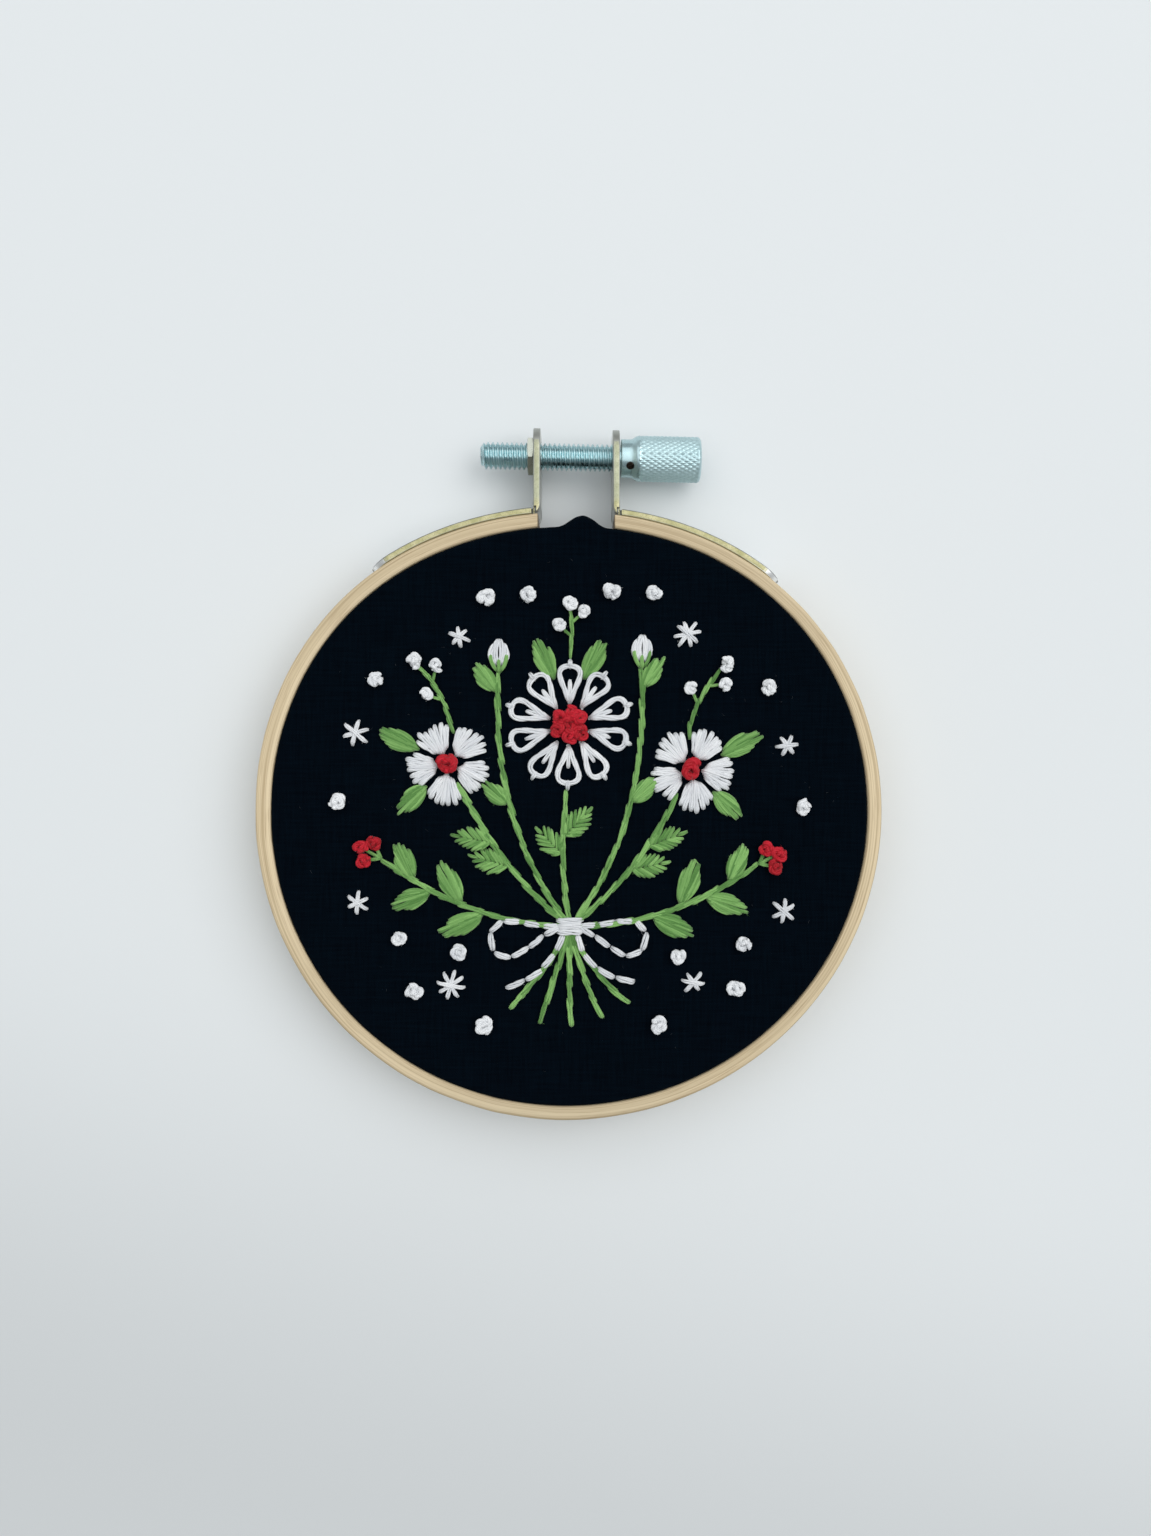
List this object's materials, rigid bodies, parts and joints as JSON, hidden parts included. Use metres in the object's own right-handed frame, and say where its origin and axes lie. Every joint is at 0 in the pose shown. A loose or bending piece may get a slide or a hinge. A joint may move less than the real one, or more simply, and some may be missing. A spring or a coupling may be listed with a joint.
{
  "type": "hoop embroidery art with its bamboo embroidery hoop",
  "caption": "Small round bamboo embroidery hoop lying on its back, with black embroidered cotton stretched in it, sheet steel ears and a knurled thumb screw.",
  "frame": {"origin": "under the middle of the whole object's box, on the surface that it lies on", "axes": "+Z out of the embroidered front, +Y from the hoop's middle towards the thumb screw, +X to the right as seen from the front"},
  "size_m": [0.09, 0.101, 0.01],
  "materials": {
    "bamboo": "pale bamboo, sanded and unvarnished, with fine grain along the hoop",
    "cotton": "near-black plain-weave cotton, matt, stretched taut",
    "yellow_zinc": "pale yellow zinc plating on sheared sheet steel, satin",
    "blue_zinc": "bright bluish zinc plating",
    "floss_white": "white stranded cotton floss with a soft sheen",
    "floss_green": "leaf green stranded cotton floss with a soft sheen",
    "floss_red": "bright red stranded cotton floss with a soft sheen"
  },
  "bodies": {
    "root": {"outer_hoop": "bamboo", "inner_hoop": "bamboo", "cloth": "cotton", "bracket_left": "yellow_zinc", "bracket_right": "yellow_zinc", "nut": "yellow_zinc", "thumb_screw": "blue_zinc"}
  },
  "joints": []
}
